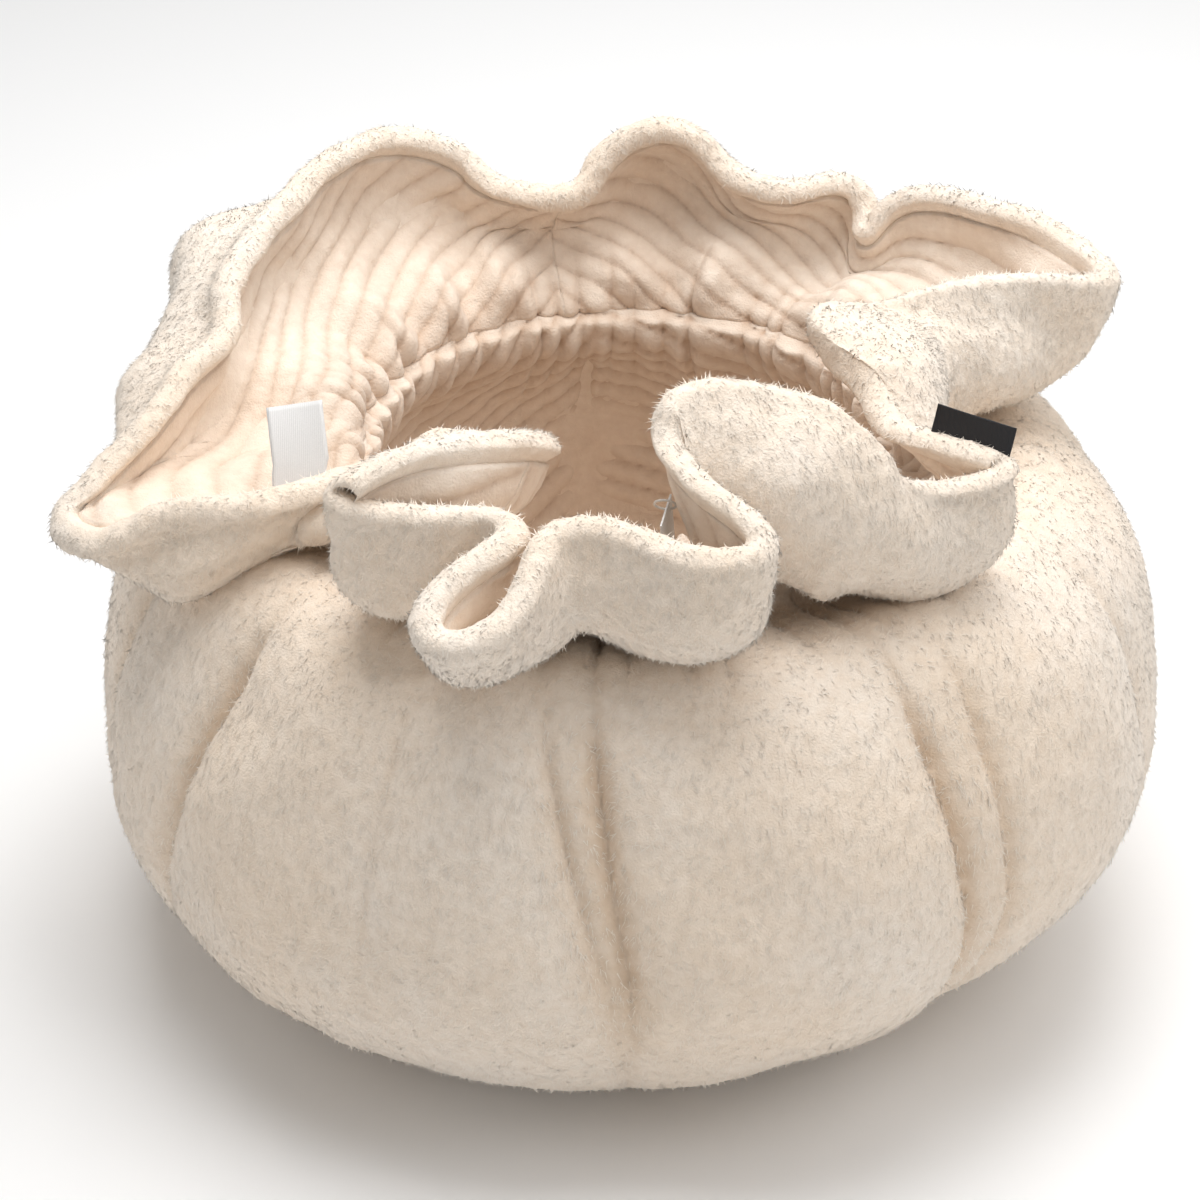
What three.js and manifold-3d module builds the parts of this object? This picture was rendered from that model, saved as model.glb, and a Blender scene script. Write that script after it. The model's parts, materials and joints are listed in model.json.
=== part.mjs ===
// A round plush pet bed: a filled ring with a bowl in the middle, pulled in at an elastic neck,
// and a wide loose collar that stands up from the neck in deep folds. Millimetres, +Z up.
// The origin is the centre of the base, on the surface that the bed stands on. The front is -Y.

import * as THREE from 'three';
import { ParametricGeometry } from 'three/addons/geometries/ParametricGeometry.js';
import { mergeVertices } from 'three/addons/utils/BufferGeometryUtils.js';
import Module from 'manifold-3d';

const wasm = await Module();
wasm.setup();

// Body of the bed
const bodyRadius = 280;
const widestHeight = 135;
const shoulderRadius = 203;
const shoulderHeight = 270;
const baseRadius = 175;
const baseClothThickness = 3;
const plushThickness = 4;

// Bowl
const bowlRadius = 182;
const bowlWidestHeight = 160;
const bowlFloorRadius = 120;
const bowlFloorHeight = 66;
const bowlPanelCount = 4;
const firstBowlSeamAngle = 98;

// Neck
const neckRadius = 149;
const neckHeight = 282;
const elasticWidth = 10;
const elasticThickness = 1.4;

// Collar
const collarWidth = 175;
const collarLayerThickness = 2;
const collarRise = 30;
const foldSoftness = 0.55;

// Labels and tag
const brandLabelWidth = 40;
const brandLabelHeight = 14;
const careLabelWidth = 28;
const careLabelHeight = 44;
const labelThickness = 0.8;
const tagWidth = 28;
const tagHeight = 42;
const tagThickness = 0.8;
const tagHoleRadius = 1.3;
const tagHoleInset = 5;
const tagLoopRadius = 5;
const tagLoopWire = 0.6;

// Where they sit: the stop in the list of folds, the share of the way up the cloth, and how they
// lean or turn, in degrees.
const brandLabelStop = 28.9;
const brandLabelLean = -25;
const careLabelStop = 56.7;
const careLabelClimb = 0.78;
const careLabelLean = 95;
const tagStop = 37.1;
const tagClimb = 0.8;
const tagTurn = 35;
const tagLean = -15;
const labelSearchReach = 24;

const gap = 0.3;
const turnSteps = 40;
const curveSteps = 5;

// The folds of the collar, clockwise from the left tip as seen from above. Each stop is the angle
// where its cloth leaves the neck, then its rim: the angle, how far out of the neck and how high
// above it, the last two as shares of the collar's width.
const collarFolds = [
  // left flap and the back left wall
  [188, 201, 0.88, 0.00], [181, 195, 0.74, 0.09], [174, 188, 0.50, 0.25], [164, 169, 0.32, 0.39],
  [155, 148, 0.33, 0.51], [142, 138, 0.31, 0.51], [128, 119, 0.29, 0.47], [121, 115, 0.24, 0.37],
  // back valley and the curl beside it
  [114, 111, 0.12, 0.36], [105, 104, 0.04, 0.33], [97, 96, 0.06, 0.35], [88, 88, 0.10, 0.49],
  [82, 79, 0.12, 0.56], [77, 71, 0.16, 0.44], [71, 63, 0.17, 0.40],
  // back right wall, a pleat, and the right flap
  [62, 55, 0.28, 0.40], [56, 51, 0.34, 0.31], [50, 48, 0.26, 0.22], [44, 46, 0.32, 0.34],
  [37, 40, 0.40, 0.40], [28, 30, 0.46, 0.40], [19, 20, 0.60, 0.34], [9, 13, 0.65, 0.30],
  // inward fold on the right, and the small flap that carries the brand label
  [0, 7, 0.28, 0.42], [-6, -2, -0.04, 0.45], [-12, -8, -0.22, 0.43], [-17, -22, -0.28, 0.39],
  [-21, -35, -0.10, 0.36], [-27, -40, 0.13, 0.33], [-33, -38, 0.33, 0.32], [-40, -37, 0.44, 0.29],
  // inward fold at the front right
  [-46, -46, 0.34, 0.26], [-51, -54, 0.30, 0.35], [-56, -56, 0.26, 0.48], [-61, -61, 0.18, 0.57],
  [-67, -70, 0.12, 0.62], [-71, -81, 0.11, 0.63], [-74, -87, 0.20, 0.59], [-77, -84, 0.35, 0.51],
  // front flap, the bay beside it, and the narrow flap
  [-83, -76, 0.55, 0.42], [-89, -82, 0.58, 0.38], [-93, -90, 0.46, 0.40], [-97, -98, 0.42, 0.40],
  [-101, -101, 0.53, 0.33], [-105, -106, 0.73, 0.23], [-108, -110, 0.71, 0.24], [-111, -109, 0.58, 0.30],
  // tight inward fold and the flap at the front left
  [-114, -104, 0.42, 0.36], [-117, -109, 0.33, 0.42], [-120, -115, 0.45, 0.45],
  [-125, -125, 0.60, 0.46], [-129, -124, 0.45, 0.49], [-132, -118, 0.24, 0.49],
  // inward fold that drops into the bowl and runs back to the left flap
  [-135, -110, 0.02, 0.42], [-138, -115, -0.22, 0.26], [-142, -132, -0.28, 0.16],
  [-148, -147, -0.10, 0.16], [-155, -145, 0.30, 0.14], [-163, -150, 0.55, 0.11],
];

const creamPlush = new THREE.MeshStandardMaterial({ color: 0xe8dcc8, roughness: 0.95, metalness: 0 });
const beigePlush = new THREE.MeshStandardMaterial({ color: 0xd8b89c, roughness: 0.95, metalness: 0 });
const fibreFill = new THREE.MeshStandardMaterial({ color: 0xf4f4f2, roughness: 1, metalness: 0 });
const baseCloth = new THREE.MeshStandardMaterial({ color: 0xd9cfbe, roughness: 0.9, metalness: 0 });
const elasticBand = new THREE.MeshStandardMaterial({ color: 0xf2efe8, roughness: 0.8, metalness: 0 });
const blackRibbon = new THREE.MeshStandardMaterial({ color: 0x16161a, roughness: 0.7, metalness: 0 });
const whiteSatin = new THREE.MeshStandardMaterial({ color: 0xf3f1ef, roughness: 0.5, metalness: 0 });
const tagCard = new THREE.MeshStandardMaterial({ color: 0xe9e7e4, roughness: 0.6, metalness: 0 });
const clearNylon = new THREE.MeshStandardMaterial({ color: 0xdedad2, roughness: 0.35, metalness: 0 });

const bed = new THREE.Group();

// --- Helpers -------------------------------------------------------------------------------

function addPiece(name, geometry, material) {
  const piece = new THREE.Mesh(geometry, material);
  piece.name = name;
  bed.add(piece);
  return piece;
}

// Moves an open outline sideways; positive distances go to its left.
function offsetPath(points, distance) {
  return points.map((point, i) => {
    const before = points[Math.max(i - 1, 0)];
    const after = points[Math.min(i + 1, points.length - 1)];
    const along = after.clone().sub(before).normalize();
    return new THREE.Vector2(point.x - along.y * distance, point.y + along.x * distance);
  });
}

// Turns a closed (radius, height) outline around the axis. The outline runs counterclockwise.
function turned(outline, steps = turnSteps) {
  return new THREE.LatheGeometry([...outline, outline[0].clone()], steps);
}

function sheetOutline(points, thickness) {
  return [...points, ...offsetPath(points, thickness).reverse()];
}

function disc(radius, bottom, top) {
  const outline = [[0, bottom], [radius, bottom], [radius, top], [0, top]];
  return new THREE.LatheGeometry(outline.map(([r, z]) => new THREE.Vector2(r, z)), turnSteps);
}

// LatheGeometry turns about Y; the bed's axis is Z.
function upright(geometry) {
  return geometry.rotateX(Math.PI / 2);
}

function toSolid(geometry) {
  const bare = geometry.clone();
  bare.deleteAttribute('normal');
  bare.deleteAttribute('uv');
  const merged = mergeVertices(bare, 1e-4);
  return new wasm.Manifold(new wasm.Mesh({
    numProp: 3,
    vertProperties: new Float32Array(merged.attributes.position.array),
    triVerts: new Uint32Array(merged.index.array),
  }));
}

function toGeometry(solid) {
  const mesh = solid.getMesh();
  const geometry = new THREE.BufferGeometry();
  geometry.setAttribute('position', new THREE.BufferAttribute(mesh.vertProperties, 3));
  geometry.setIndex(new THREE.BufferAttribute(mesh.triVerts, 1));
  geometry.computeVertexNormals();
  return geometry;
}

function onCircle(radius, degrees, height) {
  const angle = THREE.MathUtils.degToRad(degrees);
  return new THREE.Vector3(radius * Math.cos(angle), radius * Math.sin(angle), height);
}

function bezier(...points) {
  const ends = points.map(([r, z]) => new THREE.Vector2(r, z));
  return new THREE.CubicBezierCurve(...ends).getPoints(curveSteps);
}

// --- Outlines of the body, as (radius, height) -----------------------------------------------

const channelHalf = elasticThickness / 2 + gap;
const neckOuterRadius = neckRadius + channelHalf + plushThickness;
const neckInnerRadius = neckRadius - channelHalf - plushThickness;
const skinBottom = baseClothThickness + gap;
const skinTop = neckHeight - gap;
const channelMargin = 2;
const channelBottom = skinTop - elasticWidth - 2 * channelMargin;
const neckEase = 10;
const sideReach = bodyRadius - baseRadius;
const shoulderReach = bodyRadius - shoulderRadius;

// Outside of the body, from the base up over the shoulder and into the neck.
const bodyOutline = [
  ...bezier([baseRadius, skinBottom], [baseRadius + 0.4 * sideReach, skinBottom + 0.1 * widestHeight],
    [bodyRadius, 0.55 * widestHeight], [bodyRadius, widestHeight]),
  ...bezier([bodyRadius, widestHeight], [bodyRadius, widestHeight + 0.45 * (shoulderHeight - widestHeight)],
    [shoulderRadius + 0.6 * shoulderReach, shoulderHeight], [shoulderRadius, shoulderHeight]).slice(1),
  ...bezier([shoulderRadius, shoulderHeight], [(shoulderRadius + neckOuterRadius) / 2, shoulderHeight],
    [neckOuterRadius, channelBottom - neckEase], [neckOuterRadius, channelBottom]).slice(1),
  new THREE.Vector2(neckOuterRadius, skinTop),
];

// Inside of the bowl, from the neck down to the edge of its floor.
const bowlOutline = [
  new THREE.Vector2(neckInnerRadius, skinTop),
  ...bezier([neckInnerRadius, channelBottom], [neckInnerRadius, channelBottom - 2 * neckEase],
    [bowlRadius, bowlWidestHeight + 0.6 * (neckHeight - bowlWidestHeight)], [bowlRadius, bowlWidestHeight]),
  ...bezier([bowlRadius, bowlWidestHeight],
    [bowlRadius, bowlWidestHeight - 0.55 * (bowlWidestHeight - bowlFloorHeight)],
    [bowlFloorRadius + 0.65 * (bowlRadius - bowlFloorRadius), bowlFloorHeight],
    [bowlFloorRadius + gap, bowlFloorHeight]).slice(1),
];

// --- Body ------------------------------------------------------------------------------------

function makeOuterCover() {
  return upright(turned(sheetOutline(bodyOutline, plushThickness)));
}

function makeBowlPanels() {
  const wall = toSolid(upright(turned(sheetOutline(bowlOutline, plushThickness))));
  const spread = 2 * Math.PI / bowlPanelCount;
  const seamHalfAngle = gap / bowlRadius;
  const reach = 2 * bodyRadius;
  return Array.from({ length: bowlPanelCount }, (_, i) => {
    const start = THREE.MathUtils.degToRad(firstBowlSeamAngle) - (i + 1) * spread + seamHalfAngle;
    const wedge = new THREE.Shape();
    wedge.moveTo(0, 0);
    wedge.lineTo(reach * Math.cos(start), reach * Math.sin(start));
    wedge.absarc(0, 0, reach, start, start + spread - 2 * seamHalfAngle, false);
    const block = new THREE.ExtrudeGeometry(wedge, { depth: 2 * neckHeight, bevelEnabled: false });
    return toGeometry(wall.intersect(toSolid(block)));
  });
}

// The filling of the ring follows the inside of the cover and the back of the bowl's wall.
function makeRingFill() {
  const inset = plushThickness + gap;
  const fillTop = channelBottom - neckEase;
  const outside = offsetPath(bodyOutline, inset).filter((p) => p.x > neckOuterRadius + elasticWidth / 2);
  const inside = offsetPath(bowlOutline, inset).filter((p) => p.y < fillTop);
  const floorEdge = new THREE.Vector2(bowlFloorRadius + gap, bowlFloorHeight - inset);
  const footEdge = new THREE.Vector2(bowlFloorRadius + gap, skinBottom);
  const footOuter = new THREE.Vector2(baseRadius - inset, skinBottom);
  return upright(turned([footEdge, footOuter, ...outside, ...inside, floorEdge]));
}

function makeElastic() {
  const outline = [[-1, -1], [1, -1], [1, 1], [-1, 1]].map(([side, level]) => new THREE.Vector2(
    neckRadius + side * elasticThickness / 2,
    (channelBottom + skinTop) / 2 + level * elasticWidth / 2,
  ));
  return upright(turned(outline));
}

// --- Collar ----------------------------------------------------------------------------------

const foldCount = collarFolds.length;
const rimCurve = new THREE.CatmullRomCurve3(
  collarFolds.map(([, rimAngle, reach, rise]) => onCircle(
    neckRadius + reach * collarWidth, rimAngle, neckHeight + rise * collarWidth,
  )),
  true,
);

function neckAngleAt(around) {
  const place = THREE.MathUtils.euclideanModulo(around, 1) * foldCount;
  const here = Math.floor(place) % foldCount;
  const next = (here + 1) % foldCount;
  const endAngle = collarFolds[next][0] - (next === 0 ? 360 : 0);
  return THREE.MathUtils.lerp(collarFolds[here][0], endAngle, place - Math.floor(place));
}

// Height of the body's upper side at a radius, for the collar to lie on.
function shoulderAt(radius) {
  const upper = bodyOutline.filter((p) => p.y >= widestHeight).reverse();
  for (let i = 1; i < upper.length; i += 1) {
    if (radius <= upper[i].x) {
      const share = (radius - upper[i - 1].x) / (upper[i].x - upper[i - 1].x);
      return THREE.MathUtils.lerp(upper[i - 1].y, upper[i].y, THREE.MathUtils.clamp(share, 0, 1));
    }
  }
  return 0;
}

// The way of one thread of the collar from the neck to the rim: 0 to 1 around, 0 to 1 up.
// Cloth that is longer than its straight way to the rim bellies out and down.
function collarThread(around, up) {
  const neck = onCircle(neckRadius, neckAngleAt(around), neckHeight);
  const rim = rimCurve.getPoint(THREE.MathUtils.euclideanModulo(around, 1));
  const chord = rim.clone().sub(neck);
  const length = chord.length();
  const sag = Math.sqrt(0.375 * length * Math.max(collarWidth - length, 0));
  const belly = neck.clone().setZ(0).normalize().multiplyScalar(0.8).add(new THREE.Vector3(0, 0, -0.6));
  belly.addScaledVector(chord, -belly.dot(chord) / chord.lengthSq()).normalize();
  const rise = neck.clone().add(new THREE.Vector3(0, 0, collarRise));
  const low = neck.clone().addScaledVector(chord, 0.6).addScaledVector(belly, 1.2 * sag);
  const point = new THREE.CubicBezierCurve3(neck, rise, low, rim).getPoint(up);
  const resting = shoulderAt(Math.hypot(point.x, point.y)) + collarLayerThickness + 4 * gap;
  const lift = Math.min(1, up * 4);
  point.z = Math.max(point.z, neckHeight + gap, lift * resting);
  return point;
}

// The middle of the collar's cloth, with each thread eased towards the two beside it.
function collarMiddle(around, up) {
  const reach = foldSoftness / foldCount;
  const beside = collarThread(around - reach, up).add(collarThread(around + reach, up));
  return collarThread(around, up).multiplyScalar(2).add(beside).divideScalar(4);
}

// A point on a face of the collar, set off towards the bowl when the distance is positive.
function collarFace(around, up, distance) {
  const step = 0.5 / foldCount;
  const small = 0.02;
  const along = collarMiddle(around + step, up).sub(collarMiddle(around - step, up));
  const climb = collarMiddle(around, Math.min(up + small, 1)).sub(collarMiddle(around, Math.max(up - small, 0)));
  const inward = along.cross(climb).normalize();
  return collarMiddle(around, up).addScaledVector(inward, distance);
}

function flipFaces(geometry) {
  const corners = geometry.index.array;
  for (let i = 0; i < corners.length; i += 3) {
    [corners[i + 1], corners[i + 2]] = [corners[i + 2], corners[i + 1]];
  }
  return geometry;
}

// A closed shell of the collar's cloth between two distances from its middle. The cover's layer is
// built the other way around from the lining's, so that the two layers' facets lie parallel.
function makeCollarLayer(firstDistance, secondDistance, direction) {
  const rows = 4;
  const ringSteps = 2 * rows + 2;
  const point = (around, ring, target) => {
    const k = Math.round(ring * ringSteps) % ringSteps;
    const onFirst = k <= rows;
    const up = onFirst ? k / rows : (ringSteps - 1 - k) / rows;
    target.copy(collarFace(direction * around, up, onFirst ? firstDistance : secondDistance));
  };
  const shell = new ParametricGeometry(point, 2 * foldCount, ringSteps);
  return direction > 0 ? shell : flipFaces(shell);
}

// --- Labels and tag --------------------------------------------------------------------------

const collarOutside = gap / 2 + collarLayerThickness;
const collarOuterCloth = makeCollarLayer(-gap / 2, -collarOutside, -1);
const collarLiningCloth = makeCollarLayer(collarOutside, gap / 2, 1);

// A frame on the collar: x runs along the rim, y away from the neck and z out of the cloth,
// leaning about x. The stop counts along the list of folds.
function collarFrame(stop, up, distance, lean) {
  const around = stop / foldCount;
  const step = 0.25 / foldCount;
  const along = collarFace(around + step, up, distance).sub(collarFace(around - step, up, distance)).normalize();
  const climb = collarMiddle(around, up).sub(collarMiddle(around, up - 0.05));
  climb.addScaledVector(along, -climb.dot(along)).normalize();
  const frame = new THREE.Matrix4().makeBasis(along, climb, along.clone().cross(climb));
  frame.multiply(new THREE.Matrix4().makeRotationX(THREE.MathUtils.degToRad(lean)));
  return frame.setPosition(collarFace(around, up, distance));
}

// How far the collar's cloth reaches along one axis of a frame (0 to 2), inside a box that is
// centred on the frame's origin.
function clothReach(frame, axis, boxSize) {
  const box = toSolid(new THREE.BoxGeometry(...boxSize));
  const toFrame = frame.clone().invert();
  const reaches = [collarOuterCloth, collarLiningCloth].map((layer) => {
    const cloth = toSolid(layer.clone().applyMatrix4(toFrame)).intersect(box);
    return cloth.isEmpty() ? -Infinity : cloth.boundingBox().max[axis];
  });
  return Math.max(...reaches);
}

// Sets a label on the collar so that its lower edge just clears the cloth under it.
function addStandingLabel(name, width, height, material, frame) {
  const footprint = [width, labelSearchReach, labelThickness + 2 * gap];
  const foot = clothReach(frame, 1, footprint) + gap;
  const geometry = new THREE.BoxGeometry(width, height, labelThickness).translate(0, height / 2, 0);
  frame.multiply(new THREE.Matrix4().makeTranslation(0, foot, 0));
  addPiece(name, geometry, material).applyMatrix4(frame);
}

// The card hangs inside the front flap on a nylon loop through the hole in its corner.
function addHangTag() {
  const frame = collarFrame(tagStop, tagClimb, collarOutside, 0);
  const holeX = tagHoleInset - tagWidth / 2;
  const holeY = tagHeight / 2 - tagHoleInset;
  const outline = new THREE.Shape();
  outline.moveTo(-tagWidth / 2, -tagHeight / 2);
  outline.lineTo(tagWidth / 2, -tagHeight / 2);
  outline.lineTo(tagWidth / 2, tagHeight / 2);
  outline.lineTo(-tagWidth / 2, tagHeight / 2);
  outline.holes.push(new THREE.Path().absarc(holeX, holeY, tagHoleRadius, 0, 2 * Math.PI, true));
  const card = new THREE.ExtrudeGeometry(outline, { depth: tagThickness, bevelEnabled: false, curveSegments: 8 });
  card.translate(-holeX, -holeY, -tagThickness / 2);
  const loop = new THREE.TorusGeometry(tagLoopRadius, tagLoopWire, 8, 24);
  loop.rotateY(Math.PI / 2).translate(0, tagLoopRadius, 0);
  const footprint = [2 * tagLoopWire, 2 * tagLoopRadius, labelSearchReach];
  const level = clothReach(frame, 2, footprint) + gap + tagLoopRadius;
  frame.multiply(new THREE.Matrix4().makeTranslation(0, 0, level));
  const lean = new THREE.Matrix4().makeRotationX(THREE.MathUtils.degToRad(tagLean));
  const turn = new THREE.Matrix4().makeRotationZ(THREE.MathUtils.degToRad(tagTurn));
  addPiece('hang_tag', card, tagCard).applyMatrix4(frame.clone().multiply(lean).multiply(turn));
  addPiece('hang_tag_loop', loop, clearNylon).applyMatrix4(frame);
}

// --- Assembly --------------------------------------------------------------------------------

addPiece('base_cloth', upright(disc(baseRadius, 0, baseClothThickness)), baseCloth);
addPiece('outer_cover', makeOuterCover(), creamPlush);
addPiece('ring_fill', makeRingFill(), fibreFill);
const floorFillTop = bowlFloorHeight - plushThickness - gap;
addPiece('floor_fill', upright(disc(bowlFloorRadius - gap, skinBottom, floorFillTop)), fibreFill);
const floorBottom = bowlFloorHeight - plushThickness;
addPiece('bowl_floor', upright(disc(bowlFloorRadius - gap, floorBottom, bowlFloorHeight)), beigePlush);
makeBowlPanels().forEach((panel, i) => addPiece(`bowl_panel_${i + 1}`, panel, beigePlush));
addPiece('neck_elastic', makeElastic(), elasticBand);
addPiece('collar_outer', collarOuterCloth, creamPlush);
addPiece('collar_lining', collarLiningCloth, beigePlush);
const brandFrame = collarFrame(brandLabelStop, 1, 0, brandLabelLean);
addStandingLabel('brand_label', brandLabelWidth, brandLabelHeight, blackRibbon, brandFrame);
const careFrame = collarFrame(careLabelStop, careLabelClimb, collarOutside, careLabelLean);
addStandingLabel('care_label', careLabelWidth, careLabelHeight, whiteSatin, careFrame);
addHangTag();

export default bed;
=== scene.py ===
"""A round plush pet bed: a filled ring, a gathered neck and a wide ruffled collar."""

import itertools
import json
import logging
import math
from collections.abc import Sequence
from dataclasses import dataclass, field
from enum import Enum

import bmesh
import bpy
import numpy as np
from mathutils import Matrix, Vector


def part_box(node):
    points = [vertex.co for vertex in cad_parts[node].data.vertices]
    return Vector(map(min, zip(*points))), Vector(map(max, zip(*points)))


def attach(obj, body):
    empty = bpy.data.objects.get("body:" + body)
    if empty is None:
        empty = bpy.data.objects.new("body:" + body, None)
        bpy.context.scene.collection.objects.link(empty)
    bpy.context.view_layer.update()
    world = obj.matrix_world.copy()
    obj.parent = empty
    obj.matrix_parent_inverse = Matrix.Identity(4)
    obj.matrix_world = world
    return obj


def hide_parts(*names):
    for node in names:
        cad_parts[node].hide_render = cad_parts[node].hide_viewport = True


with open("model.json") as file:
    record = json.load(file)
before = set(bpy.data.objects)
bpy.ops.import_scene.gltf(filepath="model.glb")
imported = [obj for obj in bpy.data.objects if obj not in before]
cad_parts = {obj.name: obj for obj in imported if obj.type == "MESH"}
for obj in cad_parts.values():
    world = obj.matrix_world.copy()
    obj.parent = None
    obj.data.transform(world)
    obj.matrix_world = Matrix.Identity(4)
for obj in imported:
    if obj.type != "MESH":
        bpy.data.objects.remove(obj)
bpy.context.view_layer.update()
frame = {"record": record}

log = logging.getLogger("pet_bed")

BED = "bed"
MM = 0.001

# Sizes that the solids share, in millimetres.
NECK_RADIUS = 149.0
NECK_HEIGHT = 282.0
COLLAR_WIDTH = 175.0
COLLAR_RISE = 30.0
FOLD_SOFTNESS = 0.55
WIDEST_HEIGHT = 135.0
SHOULDER_HEIGHT = 270.0
COVER_THICKNESS = 4.0

# The small pleats at the neck, which every layer of cloth there shares.
NECK_PLEATS = 27.0
NECK_SEED = 21
LUMP_SEED = 94

# Tufts on each pile cloth.
TUFT_COUNT = 49000
TUFT_FACES = np.array([[0, 1, 2], [0, 2, 3], [0, 3, 1], [1, 3, 2]])

# Where the hang tag, the woven label and the satin label leave the collar, in millimetres.
SEWN_SPOTS = np.array([[15.8, -192.0, 335.0], [159.1, -125.1, 338.5], [-160.6, -94.6, 295.8]])

# The folds of the collar, clockwise from the left tip as seen from above. Each stop is the angle
# where its cloth leaves the neck, then its rim: the angle, how far out of the neck and how high
# above it, the last two as shares of the collar's width.
COLLAR_FOLDS: list[tuple[float, float, float, float]] = [
    # left flap and the back left wall
    (188, 201, 0.88, 0.00), (181, 195, 0.74, 0.09), (174, 188, 0.50, 0.25), (164, 169, 0.32, 0.39),
    (155, 148, 0.33, 0.51), (142, 138, 0.31, 0.51), (128, 119, 0.29, 0.47), (121, 115, 0.24, 0.37),
    # back valley and the curl beside it
    (114, 111, 0.12, 0.36), (105, 104, 0.04, 0.33), (97, 96, 0.06, 0.35), (88, 88, 0.10, 0.49),
    (82, 79, 0.12, 0.56), (77, 71, 0.16, 0.44), (71, 63, 0.17, 0.40),
    # back right wall, a pleat, and the right flap
    (62, 55, 0.28, 0.40), (56, 51, 0.34, 0.31), (50, 48, 0.26, 0.22), (44, 46, 0.32, 0.34),
    (37, 40, 0.40, 0.40), (28, 30, 0.46, 0.40), (19, 20, 0.60, 0.34), (9, 13, 0.65, 0.30),
    # inward fold on the right, and the small flap that carries the brand label
    (0, 7, 0.28, 0.42), (-6, -2, -0.04, 0.45), (-12, -8, -0.22, 0.43), (-17, -22, -0.28, 0.39),
    (-21, -35, -0.10, 0.36), (-27, -40, 0.13, 0.33), (-33, -38, 0.33, 0.32), (-40, -37, 0.44, 0.29),
    # inward fold at the front right
    (-46, -46, 0.34, 0.26), (-51, -54, 0.30, 0.35), (-56, -56, 0.26, 0.48), (-61, -61, 0.18, 0.57),
    (-67, -70, 0.12, 0.62), (-71, -81, 0.11, 0.63), (-74, -87, 0.20, 0.59), (-77, -84, 0.35, 0.51),
    # front flap, the bay beside it, and the narrow flap
    (-83, -76, 0.55, 0.42), (-89, -82, 0.58, 0.38), (-93, -90, 0.46, 0.40), (-97, -98, 0.42, 0.40),
    (-101, -101, 0.53, 0.33), (-105, -106, 0.73, 0.23), (-108, -110, 0.71, 0.24), (-111, -109, 0.58, 0.30),
    # tight inward fold and the flap at the front left
    (-114, -104, 0.42, 0.36), (-117, -109, 0.33, 0.36), (-120, -115, 0.45, 0.37),
    (-125, -125, 0.60, 0.42), (-129, -124, 0.45, 0.49), (-132, -118, 0.24, 0.49),
    # inward fold that drops into the bowl and runs back to the left flap
    (-135, -110, 0.02, 0.42), (-138, -115, -0.22, 0.26), (-142, -132, -0.28, 0.16),
    (-148, -147, -0.10, 0.16), (-155, -145, 0.30, 0.14), (-163, -150, 0.55, 0.11),
]


# --- Number helpers ---------------------------------------------------------------------------

# Whole numbers that scramble a lattice point into a height.
HASH_PRIMES = np.array([73856093, 19349663, 83492791])
HASH_ROUNDS = ((13, 1274126177), (15, 668265263))
SEED_STEP = 7919


def smooth_step(low: float, high: float, value: np.ndarray) -> np.ndarray:
    """Rise smoothly from 0 at low to 1 at high.

    Args:
        low: Where the rise starts.
        high: Where it ends.
        value: The values to look up.

    Returns:
        The share of the rise, from 0 to 1.
    """
    share = np.clip((value - low) / (high - low), 0.0, 1.0)
    return share * share * (3.0 - 2.0 * share)


def cloth_noise(points: np.ndarray, cell: float, seed: int) -> np.ndarray:
    """Smooth random heights on a lattice.

    Args:
        points: Places, with their coordinates along the last axis.
        cell: The lattice's spacing, in the points' unit.
        seed: Which pattern.

    Returns:
        A value from -1 to 1 for each place.
    """
    scaled = points / cell
    base = np.floor(scaled).astype(np.int64)
    part = scaled - base
    fade = part * part * (3.0 - 2.0 * part)
    primes = HASH_PRIMES[: points.shape[-1]]
    total = np.zeros(points.shape[:-1])
    for corner in itertools.product((0, 1), repeat=points.shape[-1]):
        key = ((base + np.array(corner)) * primes).sum(axis=-1) + seed * SEED_STEP
        for shift, factor in HASH_ROUNDS:
            key = ((key ^ (key >> shift)) * factor) & 0xFFFFFFFF
        height = ((key >> 8) & 0xFFFF) / 32767.5 - 1.0
        weight = np.where(np.array(corner) == 1, fade, 1.0 - fade).prod(axis=-1)
        total += height * weight
    return total


def unit(vectors: np.ndarray) -> np.ndarray:
    """Scale vectors to a length of one.

    Args:
        vectors: Vectors, with their coordinates along the last axis.

    Returns:
        The unit vectors.
    """
    return vectors / np.maximum(np.linalg.norm(vectors, axis=-1, keepdims=True), 1e-9)


def turned(radius: np.ndarray, angle: np.ndarray, height: np.ndarray) -> np.ndarray:
    """Places round the bed's axis.

    Args:
        radius: Distances from the axis.
        angle: Angles in radians.
        height: Heights, which share a grid with the other two.

    Returns:
        The grid of places, with x, y and z along the last axis.
    """
    return np.stack(np.broadcast_arrays(radius * np.cos(angle), radius * np.sin(angle), height), axis=-1)


def full_turn(columns: int) -> np.ndarray:
    """Angles evenly spaced all the way round.

    Args:
        columns: How many angles.

    Returns:
        One row of angles in radians.
    """
    return np.linspace(0.0, 2.0 * math.pi, columns, endpoint=False)[None, :]


def pile(points: np.ndarray, seed: int) -> np.ndarray:
    """Height of a short pile's soft clumps.

    Args:
        points: Places, in millimetres.
        seed: Which pattern.

    Returns:
        Heights in millimetres, roughly from -1.5 to 1.5.
    """
    coarse = cloth_noise(points, 11.0, seed)
    middle = cloth_noise(points, 5.0, seed + 1)
    fine = cloth_noise(points, 2.6, seed + 2)
    return 0.6 * coarse + 0.55 * middle + 0.4 * fine


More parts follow.
